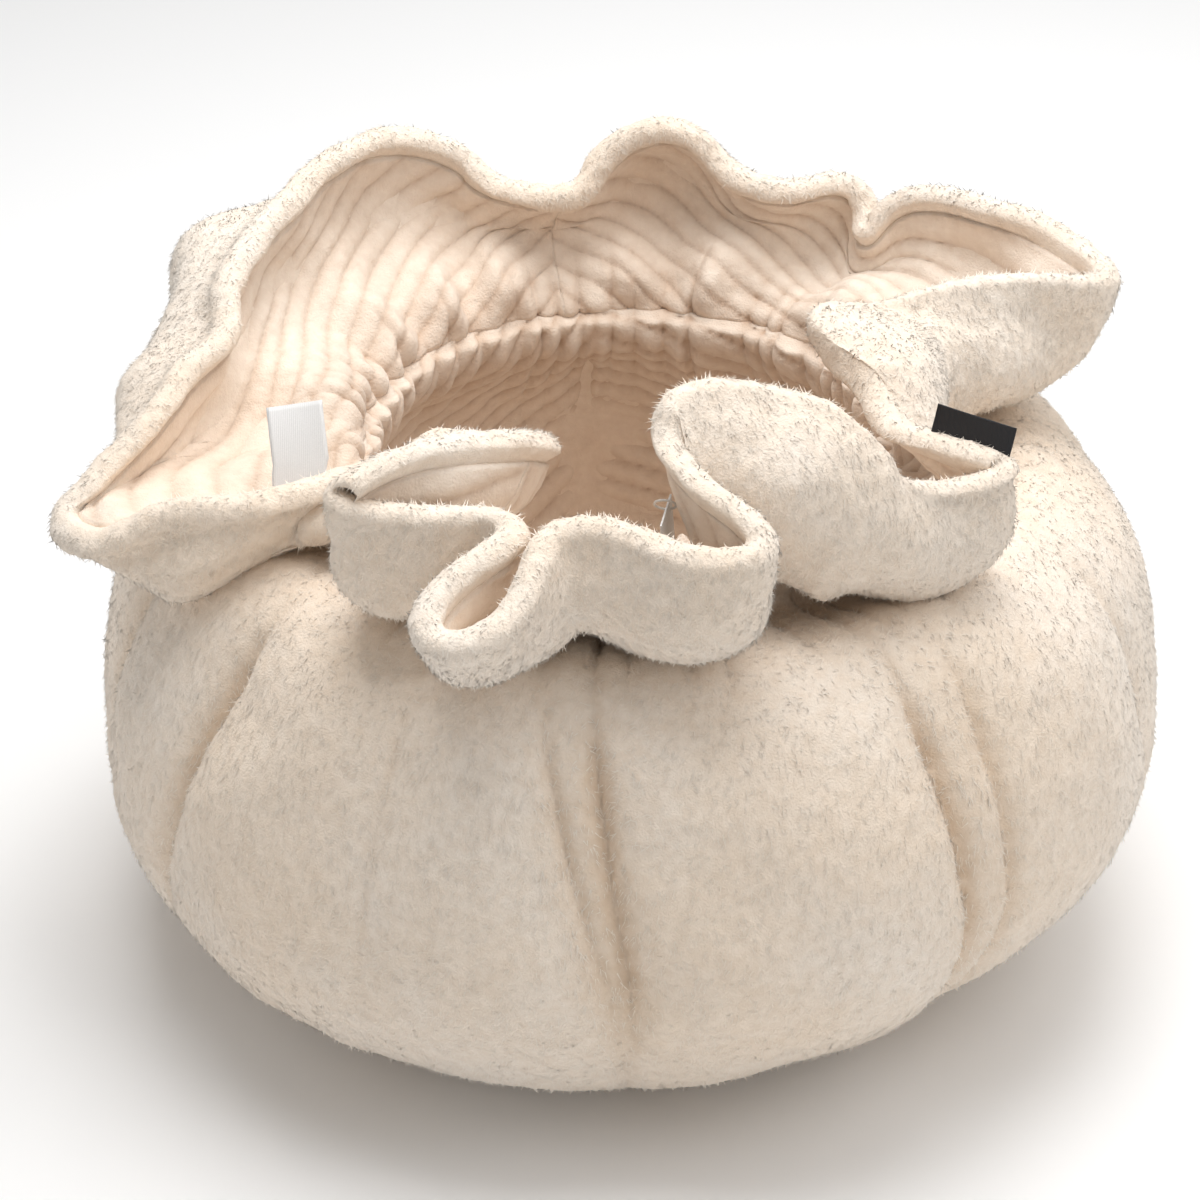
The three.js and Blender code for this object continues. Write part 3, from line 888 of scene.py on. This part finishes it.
@dataclass
class CollarCloth:
    """The middle of the collar's cloth: threads from the neck to the rim, laid in folds."""

    folds: np.ndarray = field(default_factory=lambda: np.array(COLLAR_FOLDS, dtype=float))

    def __post_init__(self) -> None:
        """Work out the rim's stops and the shoulder that the collar lies on."""
        self.count = len(self.folds)
        _, rim_angle, reach, rise = self.folds.T
        self.rim_stops = turned(
            NECK_RADIUS + reach * COLLAR_WIDTH,
            np.radians(rim_angle),
            NECK_HEIGHT + rise * COLLAR_WIDTH,
        )
        upper = body_path()
        self.shoulder = upper[upper[:, 1] >= WIDEST_HEIGHT][::-1]

    def neck_angle(self, around: np.ndarray) -> np.ndarray:
        """Find where the cloth leaves the neck.

        Args:
            around: Places around, from 0 to 1.

        Returns:
            Angles in degrees.
        """
        ends = np.append(self.folds[:, 0], self.folds[0, 0] - 360.0)
        return np.interp((around % 1.0) * self.count, np.arange(self.count + 1), ends)

    def rim(self, around: np.ndarray) -> np.ndarray:
        """Places on the rim: a closed centripetal curve through the stops.

        Args:
            around: Places around, from 0 to 1.

        Returns:
            The places, one for each place around.
        """
        place = (around % 1.0) * self.count
        here = np.floor(place).astype(int)
        share = (place - here)[..., None]
        p0, p1, p2, p3 = (self.rim_stops[(here + k) % self.count] for k in (-1, 0, 1, 2))
        steps = (p1 - p0, p2 - p1, p3 - p2)
        d0, d1, d2 = (np.sqrt(np.linalg.norm(step, axis=-1, keepdims=True)) for step in steps)
        leave = ((p1 - p0) / d0 - (p2 - p0) / (d0 + d1) + (p2 - p1) / d1) * d1
        arrive = ((p2 - p1) / d1 - (p3 - p1) / (d1 + d2) + (p3 - p2) / d2) * d1
        square = -3 * p1 + 3 * p2 - 2 * leave - arrive
        cube = 2 * p1 - 2 * p2 + leave + arrive
        return p1 + leave * share + square * share**2 + cube * share**3

    def thread(self, around: np.ndarray, up: np.ndarray) -> np.ndarray:
        """Places on the threads, 0 to 1 around and 0 to 1 up.

        Args:
            around: Places around, as columns.
            up: Places up, as rows.

        Returns:
            The grid of places, rows x columns x 3.
        """
        neck = turned(NECK_RADIUS, np.radians(self.neck_angle(around)), NECK_HEIGHT)
        rim = self.rim(around)
        chord = rim - neck
        length = np.linalg.norm(chord, axis=-1, keepdims=True)
        sag = np.sqrt(0.375 * length * np.maximum(COLLAR_WIDTH - length, 0.0))
        outward = neck / NECK_RADIUS * np.array([1.0, 1.0, 0.0])
        belly = outward * 0.8 + np.array([0.0, 0.0, -0.6])
        belly = unit(belly - chord * (belly * chord).sum(axis=-1, keepdims=True) / length**2)
        rise = neck + np.array([0.0, 0.0, COLLAR_RISE])
        low = neck + 0.6 * chord + 1.2 * sag * belly
        share = up[:, None, None]
        rest = 1.0 - share
        grid = rest**3 * neck + 3 * rest**2 * share * rise + 3 * rest * share**2 * low + share**3 * rim
        radius = np.hypot(grid[..., 0], grid[..., 1])
        resting = np.interp(radius, self.shoulder[:, 0], self.shoulder[:, 1]) + 3.2
        lift = np.minimum(1.0, 4.0 * up)[:, None]
        grid[..., 2] = np.maximum(grid[..., 2], np.maximum(NECK_HEIGHT + 0.3, lift * resting))
        return grid

    def middle(self, around: np.ndarray, up: np.ndarray) -> np.ndarray:
        """Ease each thread towards the two beside it.

        Args:
            around: Places around, as columns.
            up: Places up, as rows.

        Returns:
            The grid of places, rows x columns x 3.
        """
        reach = FOLD_SOFTNESS / self.count
        beside = self.thread(around - reach, up) + self.thread(around + reach, up)
        return (2.0 * self.thread(around, up) + beside) / 4.0

    def even_columns(self, count: int) -> np.ndarray:
        """Places around that are evenly spaced along the cloth.

        Args:
            count: How many columns.

        Returns:
            Values from 0 to 1.
        """
        dense = np.linspace(0.0, 1.0, 4001)
        lines = self.middle(dense, np.array([0.5, 1.0]))
        steps = np.linalg.norm(np.diff(lines, axis=1), axis=-1)
        lengths = np.concatenate([[0.0], np.cumsum(0.35 * steps[0] + 0.65 * steps[1])])
        stops = np.linspace(0.0, lengths[-1], count, endpoint=False)
        log.info("collar: %.0f mm of cloth around", lengths[-1])
        return np.interp(stops, lengths, dense)


@dataclass(frozen=True)
class Bulge:
    """A place where the outer cloth stands away from the lining, in a soft mound."""

    stop: float
    spread: float
    up: float
    reach: float
    height_mm: float
    outward: float = 0.0

    def height(self, stops: np.ndarray, up: np.ndarray, count: int) -> np.ndarray:
        """How far the cloth stands out.

        Args:
            stops: Places around, in stops of the fold list.
            up: Places up.
            count: How many stops there are.

        Returns:
            Distances in millimetres, rows x columns.
        """
        off = (stops - self.stop + count / 2.0) % count - count / 2.0
        sideways = np.exp(-((off / self.spread) ** 2))
        above = smooth_step(1.0, 0.93, up)
        along = np.exp(-(((up - self.up) / self.reach) ** 2)) * above
        return self.height_mm * along[:, None] * sideways[None, :]


@dataclass
class Collar:
    """The wide ruffled collar: a cream outer cloth whose edge rolls over the ribbed lining."""

    cover: bpy.types.Material
    tufts: bpy.types.Material
    lining: bpy.types.Material
    cloth: CollarCloth
    columns: int = 1560
    rows: int = 84
    rib_pitch: float = 15.5
    rib_height: float = 2.8
    rib_turns: tuple[float, ...] = (62.0, -30.0, -105.0, 172.0)
    strip_ends: tuple[int, ...] = (9, 26, 33, 53)
    wide_pleats: float = 17.0
    cover_columns: int = 1200
    cover_rows: int = 62
    roll_radius: float = 8.6
    lining_top: float = 0.975
    bulges: tuple[Bulge, ...] = (
        Bulge(2.2, 0.75, 0.8, 0.22, 42.0), Bulge(3.5, 0.5, 0.82, 0.2, 38.0),
        Bulge(33.6, 1.7, 0.42, 0.34, 20.0), Bulge(30.5, 1.2, 0.4, 0.3, 14.0),
        Bulge(45.5, 1.8, 0.45, 0.3, 14.0), Bulge(49.5, 1.0, 0.5, 0.3, 8.0),
        Bulge(39.5, 1.6, 0.5, 0.3, 12.0), Bulge(57.4, 1.6, 0.56, 0.42, 60.0, 1.0),
    )

    def _middle(self, around: np.ndarray, up: np.ndarray) -> tuple[np.ndarray, ...]:
        """The cloth's middle with its slack, its normals towards the lining, and its pleats.

        Args:
            around: Places around.
            up: Places up.

        Returns:
            The grid, the normals, how high each place stands in its pleat, and how far the
            pleat lifts either layer off the middle.
        """
        grid = self.cloth.middle(around, up)
        normal = grid_normals(grid, False)
        neck = np.radians(self.cloth.neck_angle(around))[None, :] + 0.0 * up[:, None]
        pleats = gather(neck)
        ruff = pleat_lift(grid, pleats) * (smooth_step(0.5, 0.0, up) ** 1.5)[:, None]
        crumple = 11.0 * cloth_noise(grid, 68.0, 91) + 6.0 * cloth_noise(grid, 32.0, 92)
        crumple = crumple * self._calm(grid, 45.0)
        slack = crumple * smooth_step(0.05, 0.4, up)[:, None]
        wide_pleats = np.sin(neck * self.wide_pleats + 2.5 * cloth_noise(grid, 60.0, 93))
        wide_pleats = wide_pleats * smooth_step(0.8, 0.15, up)[:, None]
        slack = slack + 6.5 * wide_pleats * smooth_step(0.0, 0.15, up)[:, None]
        grid = grid + normal * slack[..., None]
        return grid, normal, pleats, ruff

    @staticmethod
    def _calm(grid: np.ndarray, reach: float) -> np.ndarray:
        """How free the cloth is to crumple and puff: little where something is sewn to it.

        Args:
            grid: Places on the cloth.
            reach: How far a sewn piece holds the cloth, in millimetres.

        Returns:
            0 at a sewn piece to 1 away from them all.
        """
        away = np.linalg.norm(grid[..., None, :] - SEWN_SPOTS, axis=-1).min(axis=-1)
        return 1.0 - np.exp(-((away / reach) ** 2))

    def build(self) -> None:
        """Make both layers and dress them."""
        self._build_cover()
        self._build_lining()

    def _build_cover(self) -> None:
        """Make the cream outer cloth, whose edge rolls over the rim."""
        around = self.cloth.even_columns(self.cover_columns)
        up = np.linspace(0.0, 1.0, self.cover_rows)
        grid, normal, pleats, ruff = self._middle(around, up)
        thick = 3.5 + 3.5 * smooth_step(0.05, 0.5, up) + 1.2 * smooth_step(0.85, 1.0, up)
        loose = 4.0 + 4.0 * cloth_noise(grid, 70.0, 95)
        puff = loose * (smooth_step(0.1, 0.45, up) * smooth_step(1.0, 0.7, up))[:, None]
        free = 0.35 + 0.65 * self._calm(grid, 30.0)
        outside = grid - normal * ((thick[:, None] + puff) * free + ruff)[..., None]
        outside = outside + self._bulging(around, up, grid, normal)
        rise = unit(grid[-1] - grid[-4])
        turns = np.radians(np.linspace(-72.0, 68.0, 11))
        rolled = [
            grid[-1] + self.roll_radius * (math.cos(turn) * rise + math.sin(turn) * normal[-1])
            for turn in turns
        ]
        back_up = np.array([0.93, 0.88, 0.6, 0.3, 0.0])
        rows = np.interp(back_up, up, np.arange(len(up))).round().astype(int)
        fold_in = grid[-3] + normal[-3] * 3.4
        back = np.stack([grid[row] - normal[row] * 0.4 for row in rows])
        hem = outside[0] + normal[0] * 1.0 - np.array([0.0, 0.0, 4.0])
        section = np.concatenate([outside, np.stack(rolled), fold_in[None], back, hem[None]])
        normals = grid_normals(section, True)
        outward = np.sign((normals[20] * -normal[20]).sum())
        fluff = np.zeros(section.shape[0])
        fluff[: len(up) + len(turns)] = 1.0
        section = section + normals * outward * (pile(section, 101) * fluff[:, None])[..., None]
        radius = np.hypot(section[..., 0], section[..., 1])
        resting = np.interp(radius, self.cloth.shoulder[:, 0], self.cloth.shoulder[:, 1])
        is_over = (radius > 165.0) & (radius < 279.0)
        section[..., 2] = np.where(is_over, np.maximum(section[..., 2], resting - 2.0), section[..., 2])
        painted_shade = np.zeros(section.shape[:2])
        # Painted shade in the bottoms of the neck pleats, fading out halfway up the collar.
        shade = (1.0 - pleats) * (0.5 * smooth_step(0.5, 0.0, up))[:, None]
        painted_shade[: len(up)] = shade
        piece = loft("collar_cover", section, painted_shade)
        dress(piece, self.cover, "cream_plush", "collar_outer")
        seen = slice(2, len(up) + len(turns) - 2)
        fleece = Fleece("collar_pile", length=4.2, width=0.7, lean=68.0, seed=211)
        tufts = fleece.build(section[seen], normals[seen] * outward, self.tufts)

    def _bulging(
        self, around: np.ndarray, up: np.ndarray, grid: np.ndarray, normal: np.ndarray
    ) -> np.ndarray:
        """How far the outer cloth moves in the bulges.

        Args:
            around: Places around.
            up: Places up.
            grid: The cloth's middle.
            normal: Its normals towards the lining.

        Returns:
            Moves in millimetres, rows x columns x 3.
        """
        eased = sum(np.roll(normal, shift, axis=1) for shift in range(-24, 25, 6))
        eased = -unit(eased)
        radial = unit(grid * np.array([1.0, 1.0, 0.0])) * 0.9 + np.array([0.0, 0.0, -0.45])
        total = np.zeros_like(grid)
        for bulge in self.bulges:
            height = bulge.height(around * self.cloth.count, up, self.cloth.count)[..., None]
            total = total + height * ((1.0 - bulge.outward) * eased + bulge.outward * radial)
        return total

    def _build_lining(self) -> None:
        """Make the ribbed lining as strips sewn end to end."""
        around = self.cloth.even_columns(self.columns)
        up = np.linspace(0.0, self.lining_top, self.rows)
        grid, normal, pleats, ruff = self._middle(around, up)
        turn = np.linspace(0.0, 2.0 * math.pi, self.columns, endpoint=False)
        flat_radius = 215.0 + 130.0 * up[:, None]
        strip = np.searchsorted(np.array(self.strip_ends), around * self.cloth.count, side="right") - 1
        flat_angle = np.radians(188.0 - np.array(self.rib_turns)[strip]) - turn
        wander = 1.5 * cloth_noise(grid, 45.0, 111)
        phase = (flat_radius * np.cos(flat_angle) + wander) / self.rib_pitch
        rib = np.abs(np.sin(math.pi * phase)) ** 0.42
        fade = smooth_step(1.0, 0.93, up / self.lining_top)
        thick = 4.0 + 2.0 * smooth_step(0.02, 0.4, up)
        calm = self._calm(grid, 42.0)
        height = thick[:, None] + self.rib_height * (rib - 0.4) * (0.35 + 0.65 * fade[:, None])
        height = height * (0.2 + 0.8 * calm) + ruff
        face = grid + normal * height[..., None]
        normals = grid_normals(face, False)
        facing = np.sign((normals[20] * normal[20]).sum())
        face = face + normals * facing * (0.6 * pile(face, 121))[..., None]
        edge = grid[-1] + normal[-1] * 1.2
        rows = np.interp([0.9, 0.6, 0.3, 0.0], up, np.arange(len(up))).round().astype(int)
        back = np.stack([grid[row] + normal[row] * 0.3 for row in rows])
        sink = 6.0 + 4.0 * cloth_noise(grid[0], 24.0, 96)
        hem = face[0] - normal[0] * 3.0 - sink[:, None] * np.array([0.0, 0.0, 1.0])
        section = np.concatenate([face, edge[None], back, hem[None]])
        # Painted shade in the rib valleys and in the bottoms of the neck pleats.
        shade = (1.0 - rib) * 0.6 + (1.0 - pleats) * (0.5 * smooth_step(0.5, 0.0, up))[:, None]
        painted_shade = np.zeros(section.shape[:2])
        painted_shade[: len(up)] = np.clip(shade, 0.0, 1.0)
        borders = [int(np.searchsorted(around, stop / self.cloth.count)) for stop in self.strip_ends]
        for number, first in enumerate(borders):
            last = borders[(number + 1) % len(borders)]
            columns = np.arange(first, last + 1 if last > first else last + 1 + self.columns) % self.columns
            name = f"collar_lining_{number + 1}"
            strip = loft(name, section[:, columns], painted_shade[:, columns], Ends.CAPPED)
            nodes = ["collar_lining"] if number == 0 else []
            dress(strip, self.lining, "beige_plush", *nodes)


# --- Labels and tag ---------------------------------------------------------------------------


@dataclass(frozen=True)
class HingeFrame:
    """A label's own frame: x along its sewn edge, y up the label, z out of its face."""

    place: Matrix

    @staticmethod
    def of(node: str, joint: str) -> "HingeFrame":
        """Read the frame from a node's mesh and its joint.

        Args:
            node: The label's node.
            joint: The joint at its sewn edge.

        Returns:
            The frame, in metres.
        """
        hinge = next(item for item in frame["record"]["behaviour"]["joints"] if item["name"] == joint)
        origin = Vector(hinge["pos_m"])
        across = Vector(hinge["axis"]).normalized()
        low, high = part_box(node)
        climb = (Vector(low) + Vector(high)) / 2.0 - origin
        climb = (climb - across * climb.dot(across)).normalized()
        out = across.cross(climb)
        place = Matrix((across, climb, out)).transposed().to_4x4()
        place.translation = origin
        return HingeFrame(place)


@dataclass
class SoftLabel:
    """A label of soft ribbon, sewn in at its lower edge."""

    name: str
    node: str
    body: str
    joint: str
    slot: str
    material: bpy.types.Material
    width: float
    height: float
    curl: float
    bow: float
    lift: float = 0.0
    turn: float = 0.0
    thickness: float = 0.8

    def build(self) -> None:
        """Make the label from a grid that is curled and thickened, and dress it."""
        label = bmesh.new()
        bmesh.ops.create_grid(label, x_segments=14, y_segments=20, size=0.5)
        for vertex in label.verts:
            across, climb = vertex.co.x, vertex.co.y + 0.5
            bend = self.curl * climb**2 + self.bow * (1.0 - 4.0 * across**2) * climb
            twist = math.radians(self.turn) * min(1.0, 2.5 * climb)
            side = across * self.width * math.cos(twist) + climb * self.height * math.sin(twist)
            rise = climb * self.height * math.cos(twist) - across * self.width * math.sin(twist)
            vertex.co = Vector((side, self.lift + rise, bend)) * MM
        bmesh.ops.solidify(label, geom=label.faces[:], thickness=self.thickness * MM)
        bmesh.ops.recalc_face_normals(label, faces=label.faces[:])
        bmesh.ops.transform(label, matrix=HingeFrame.of(self.node, self.joint).place, verts=label.verts[:])
        mesh = bpy.data.meshes.new(self.name)
        label.to_mesh(mesh)
        label.free()
        smooth_shade(mesh)
        mesh.materials.append(self.material)
        piece = add_object(self.name, mesh)
        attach(piece, self.body)
        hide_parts(self.node)


# --- Studio -----------------------------------------------------------------------------------


# What the camera and the lights look at, in metres.
CAMERA_AIM = Vector((-0.016, 0.0, 0.179))
LIGHT_AIM = Vector((0.0, 0.0, 0.2))


@dataclass
class Studio:
    """The floor, the soft lights and the camera."""

    distance: float = 1.7
    elevation: float = 32.0
    lens: float = 94.9

    def build(self) -> None:
        """Make the floor, the lights and the camera."""
        scene = bpy.context.scene
        scene.view_settings.view_transform = "Standard"
        world = bpy.data.worlds.new("studio_air")
        world.use_nodes = True
        sky = world.node_tree.nodes["Background"]
        sky.inputs["Color"].default_value = (1.0, 0.995, 0.985, 1.0)
        sky.inputs["Strength"].default_value = 0.4
        scene.world = world
        self._floor()
        self._light("top_light", (0.0, 0.15, 2.1), 1.4, 32.0)
        self._light("right_light", (1.0, -0.7, 1.7), 1.0, 6.5)
        self._light("back_light", (0.6, 1.2, 1.6), 1.2, 8.0)
        tilt = math.radians(self.elevation)
        camera = bpy.data.cameras.new("camera")
        camera.lens = self.lens
        eye = add_object("camera", camera)
        eye.location = CAMERA_AIM + Vector((0.0, -math.cos(tilt), math.sin(tilt))) * self.distance
        eye.rotation_euler = (CAMERA_AIM - eye.location).to_track_quat("-Z", "Y").to_euler()
        scene.camera = eye

    @staticmethod
    def _floor() -> None:
        """Make the pale floor."""
        ground = bmesh.new()
        bmesh.ops.create_grid(ground, x_segments=1, y_segments=1, size=4.0)
        mesh = bpy.data.meshes.new("floor")
        ground.to_mesh(mesh)
        ground.free()
        kit = NodeKit("pale_floor", roughness=0.9)
        kit.shader.inputs["Base Color"].default_value = (0.93, 0.93, 0.93, 1.0)
        mesh.materials.append(kit.material)
        floor = add_object("floor", mesh)

    @staticmethod
    def _light(name: str, place: Sequence[float], size: float, power: float) -> None:
        """Add a square soft light that faces the bed.

        Args:
            name: Its name.
            place: Where it stands, in metres.
            size: Its side, in metres.
            power: Its power, in watts.
        """
        lamp = bpy.data.lights.new(name, "AREA")
        lamp.size = size
        lamp.energy = power
        light = add_object(name, lamp)
        light.location = place
        light.rotation_euler = (LIGHT_AIM - light.location).to_track_quat("-Z", "Y").to_euler()


# --- Assembly ---------------------------------------------------------------------------------


def dress_node(node: str, material: bpy.types.Material) -> None:
    """Give a solid that stays its finish.

    Args:
        node: The solid's name.
        material: The finish.
    """
    solid = bpy.data.objects[node]
    for place in solid.material_slots:
        place.material = material


def main() -> None:
    """Build the bed, the floor, the lights and the camera."""
    logging.basicConfig(level=logging.INFO, format="%(name)s: %(message)s")
    # The second colour of the cream and beige pile finishes is a darker root tone for random clumps, and
    # also the painted shade in their grooves, creases and pleats.
    cream = PlushFinish("cream_pile", (0.94, 0.84, 0.735), (0.66, 0.48, 0.32), (0.94, 0.80, 0.66)).build()
    tufts = PlushFinish(
        "cream_tufts",
        (0.95, 0.86, 0.76),
        (0.80, 0.66, 0.52),
        (0.95, 0.83, 0.70),
        bump=0.0,
        speckle=0.0,
    ).build()
    beige = PlushFinish("beige_pile", (0.93, 0.82, 0.71), (0.62, 0.45, 0.33), (0.93, 0.79, 0.66)).build()
    fibre = WovenFinish("fibre", (0.9, 0.9, 0.88), 300.0, 0.95).build()
    calico = WovenFinish("calico", (0.62, 0.54, 0.43), 900.0, 0.9).build()
    Studio().build()
    RingBody(cream, tufts, fibre, calico).build()
    Bowl(beige).build()
    Collar(cream, tufts, beige, CollarCloth()).build()
    ribbon = WovenFinish("black_weave", (0.012, 0.012, 0.015), 1800.0, 0.6).build()
    satin = WovenFinish("white_weave", (0.82, 0.81, 0.80), 1800.0, 0.45).build()
    SoftLabel("woven_label", "brand_label", "brand_label_flap", "brand_label_bend", "black_ribbon",
              ribbon, 40.0, 15.0, 1.0, 0.8, lift=5.0).build()
    SoftLabel("satin_label", "care_label", "care_label_flap", "care_label_bend", "white_satin",
              satin, 28.0, 48.0, 9.0, 1.5, turn=-22.0).build()
    dress_node("hang_tag", WovenFinish("card", (0.8, 0.79, 0.77), 900.0, 0.6).build())
    dress_node("hang_tag_loop", WovenFinish("nylon", (0.75, 0.72, 0.68), 900.0, 0.35).build())
    dress_node("neck_elastic", WovenFinish("elastic", (0.85, 0.83, 0.79), 900.0, 0.8).build())
    dress_node("floor_fill", fibre)


if __name__ == "__main__":
    main()
